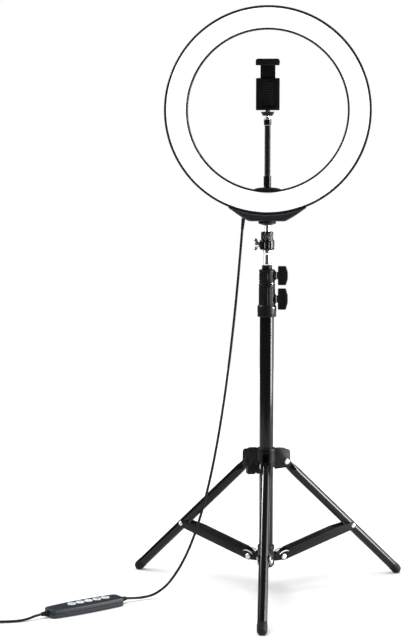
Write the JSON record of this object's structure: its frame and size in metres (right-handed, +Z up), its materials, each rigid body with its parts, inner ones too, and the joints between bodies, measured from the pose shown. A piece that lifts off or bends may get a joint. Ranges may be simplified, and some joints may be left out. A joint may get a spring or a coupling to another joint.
{
  "type": "ring light",
  "caption": "Ring light on a telescopic folding tripod stand, with a ball head, a phone clamp on a gooseneck and a wired floor controller.",
  "frame": {"origin": "on the floor, at the middle of the rectangle that the three feet stand in; the column stands 57.45 mm behind it", "axes": "+Z up along the column, the light and the front leg face -Y, +X to the right as seen from the front"},
  "size_m": [0.6897, 0.3745, 0.8593],
  "materials": {
    "black_lacquer": "gloss",
    "black_sheet_steel": "satin",
    "black_plastic": "satin",
    "black_gloss_shell": "gloss",
    "charcoal_plastic": "satin",
    "milk_diffuser": "satin",
    "board_white": "satin",
    "chrome": "polished",
    "bright_steel": "satin",
    "foot_rubber": "matte",
    "neck_rubber": "satin",
    "cord_rubber": "satin",
    "controller_shell": "satin",
    "button_white": "satin"
  },
  "bodies": {
    "stand": {"main_tube": "black_lacquer", "lower_lock_collar": "black_plastic", "spreader_collar": "black_plastic", "front_brace_pivot_pin": "bright_steel", "right_brace_pivot_pin": "bright_steel", "left_brace_pivot_pin": "bright_steel", "controller_base": "controller_shell", "controller_cover": "controller_shell", "cord_upper": "cord_rubber", "cord_lower": "cord_rubber", "cord_coil": "cord_rubber", "usb_plug": "cord_rubber"},
    "lower_knob": {"lower_lock_knob": "black_plastic"},
    "leg_collar": {"leg_collar": "black_plastic", "front_leg_pivot_pin": "bright_steel", "right_leg_pivot_pin": "bright_steel", "left_leg_pivot_pin": "bright_steel"},
    "leg_knob": {"leg_collar_knob": "black_plastic"},
    "front_leg": {"front_leg": "black_lacquer", "front_foot": "foot_rubber", "front_brace_leg_pin": "bright_steel"},
    "right_leg": {"right_leg": "black_lacquer", "right_foot": "foot_rubber", "right_brace_leg_pin": "bright_steel"},
    "left_leg": {"left_leg": "black_lacquer", "left_foot": "foot_rubber", "left_brace_leg_pin": "bright_steel"},
    "front_brace": {"front_brace": "black_sheet_steel"},
    "right_brace": {"right_brace": "black_sheet_steel"},
    "left_brace": {"left_brace": "black_sheet_steel"},
    "middle": {"middle_tube": "black_lacquer", "upper_lock_collar": "black_plastic"},
    "upper_knob": {"upper_lock_knob": "black_plastic"},
    "top": {"top_tube": "black_lacquer", "spigot_seat": "black_plastic", "spigot": "chrome", "ball_head_base": "black_lacquer", "ball_head_cap": "black_lacquer"},
    "wing": {"wing_screw": "chrome"},
    "ball": {"ball": "chrome"},
    "ring": {"ball_stud": "chrome", "mount_platform": "black_plastic", "saddle_bracket": "charcoal_plastic", "cable_gland": "charcoal_plastic", "rear_housing": "black_gloss_shell", "diffuser": "milk_diffuser", "led_board": "board_white", "arm_base": "black_plastic", "lower_ferrule": "black_lacquer"},
    "neck_lower": {"neck_lower": "neck_rubber"},
    "neck_upper": {"neck_upper": "neck_rubber", "upper_ferrule": "black_lacquer"},
    "knuckle": {"clamp_knuckle": "chrome"},
    "clamp": {"clamp_body": "black_plastic"},
    "clamp_slider": {"clamp_slider": "black_plastic"},
    "power_button": {"power_button": "button_white"},
    "dimmer_down_button": {"dimmer_down_button": "button_white"},
    "colour_button": {"colour_button": "button_white"},
    "dimmer_up_button": {"dimmer_up_button": "button_white"},
    "mode_button": {"mode_button": "button_white"}
  },
  "joints": [
    {"name": "lower_knob_turn", "type": "hinge", "parent": "stand", "child": "lower_knob", "pos_m": [0, 0.05745, 0.4358], "axis": [1, 0, 0], "range_deg": [-180, 180]},
    {"name": "legs_fold", "type": "slide", "parent": "stand", "child": "leg_collar", "axis": [0, 0, 1], "range_m": [0, 0.14028]},
    {"name": "leg_knob_turn", "type": "hinge", "parent": "leg_collar", "child": "leg_knob", "pos_m": [0, 0.05745, 0.1835], "axis": [-0.9511, -0.309, 0], "range_deg": [-180, 180]},
    {"name": "front_leg_fold", "type": "hinge", "parent": "leg_collar", "child": "front_leg", "pos_m": [0, 0.02645, 0.193], "axis": [1, 0, 0], "range_deg": [0, 44.78]},
    {"name": "right_leg_fold", "type": "hinge", "parent": "leg_collar", "child": "right_leg", "pos_m": [0.02685, 0.07295, 0.193], "axis": [-0.5, 0.866, 0], "range_deg": [0, 44.78]},
    {"name": "left_leg_fold", "type": "hinge", "parent": "leg_collar", "child": "left_leg", "pos_m": [-0.02685, 0.07295, 0.193], "axis": [-0.5, -0.866, 0], "range_deg": [0, 44.78]},
    {"name": "front_brace_fold", "type": "hinge", "parent": "stand", "child": "front_brace", "pos_m": [0, 0.03145, 0.05], "axis": [-1, 0, 0], "range_deg": [0, 69.22]},
    {"name": "right_brace_fold", "type": "hinge", "parent": "stand", "child": "right_brace", "pos_m": [0.02252, 0.07045, 0.05], "axis": [0.5, -0.866, 0], "range_deg": [0, 69.22]},
    {"name": "left_brace_fold", "type": "hinge", "parent": "stand", "child": "left_brace", "pos_m": [-0.02252, 0.07045, 0.05], "axis": [0.5, 0.866, 0], "range_deg": [0, 69.22]},
    {"name": "middle_extend", "type": "slide", "parent": "stand", "child": "middle", "axis": [0, 0, 1], "range_m": [0, 0.3]},
    {"name": "upper_knob_turn", "type": "hinge", "parent": "middle", "child": "upper_knob", "pos_m": [0, 0.05745, 0.4702], "axis": [1, 0, 0], "range_deg": [-180, 180]},
    {"name": "top_extend", "type": "slide", "parent": "middle", "child": "top", "axis": [0, 0, 1], "range_m": [0, 0.3]},
    {"name": "wing_turn", "type": "hinge", "parent": "top", "child": "wing", "pos_m": [0, 0.05745, 0.5153], "axis": [-1, 0, 0], "range_deg": [-180, 180]},
    {"name": "head_pan", "type": "hinge", "parent": "top", "child": "ball", "pos_m": [0, 0.05745, 0.5235], "axis": [0, 0, 1], "range_deg": [-90, 90]},
    {"name": "head_tilt", "type": "hinge", "parent": "ball", "child": "ring", "pos_m": [0, 0.05745, 0.5235], "axis": [1, 0, 0], "range_deg": [-20, 20], "deforming": ["cord_upper"]},
    {"name": "neck_bend_lower", "type": "hinge", "parent": "ring", "child": "neck_lower", "pos_m": [0, 0.05745, 0.62], "axis": [1, 0, 0], "range_deg": [-20, 20]},
    {"name": "neck_bend_upper", "type": "hinge", "parent": "neck_lower", "child": "neck_upper", "pos_m": [0, 0.05745, 0.654], "axis": [1, 0, 0], "range_deg": [-20, 20]},
    {"name": "clamp_turn", "type": "hinge", "parent": "neck_upper", "child": "knuckle", "pos_m": [0, 0.05745, 0.7062], "axis": [0, 0, 1], "range_deg": [-90, 90]},
    {"name": "clamp_tilt", "type": "hinge", "parent": "knuckle", "child": "clamp", "pos_m": [0, 0.05745, 0.7062], "axis": [1, 0, 0], "range_deg": [-18, 18]},
    {"name": "clamp_open", "type": "slide", "parent": "clamp", "child": "clamp_slider", "axis": [0, 0, 1], "range_m": [0, 0.022], "stiffness_N_per_m": 150, "springref_m": -0.01},
    {"name": "power_press", "type": "slide", "parent": "stand", "child": "power_button", "axis": [0, 0, -1], "range_m": [0, 0.0007], "stiffness_N_per_m": 300},
    {"name": "dimmer_down_press", "type": "slide", "parent": "stand", "child": "dimmer_down_button", "axis": [0, 0, -1], "range_m": [0, 0.0007], "stiffness_N_per_m": 300},
    {"name": "colour_press", "type": "slide", "parent": "stand", "child": "colour_button", "axis": [0, 0, -1], "range_m": [0, 0.0007], "stiffness_N_per_m": 300},
    {"name": "dimmer_up_press", "type": "slide", "parent": "stand", "child": "dimmer_up_button", "axis": [0, 0, -1], "range_m": [0, 0.0007], "stiffness_N_per_m": 300},
    {"name": "mode_press", "type": "slide", "parent": "stand", "child": "mode_button", "axis": [0, 0, -1], "range_m": [0, 0.0007], "stiffness_N_per_m": 300}
  ],
  "couplings": [
    {"joint": "front_leg_fold", "follows": "legs_fold", "rad_per_m": 5.5716},
    {"joint": "right_leg_fold", "follows": "legs_fold", "rad_per_m": 5.5716},
    {"joint": "left_leg_fold", "follows": "legs_fold", "rad_per_m": 5.5716},
    {"joint": "front_brace_fold", "follows": "legs_fold", "rad_per_m": 8.6115},
    {"joint": "right_brace_fold", "follows": "legs_fold", "rad_per_m": 8.6115},
    {"joint": "left_brace_fold", "follows": "legs_fold", "rad_per_m": 8.6115},
    {"joint": "neck_bend_upper", "follows": "neck_bend_lower", "ratio": 1}
  ]
}
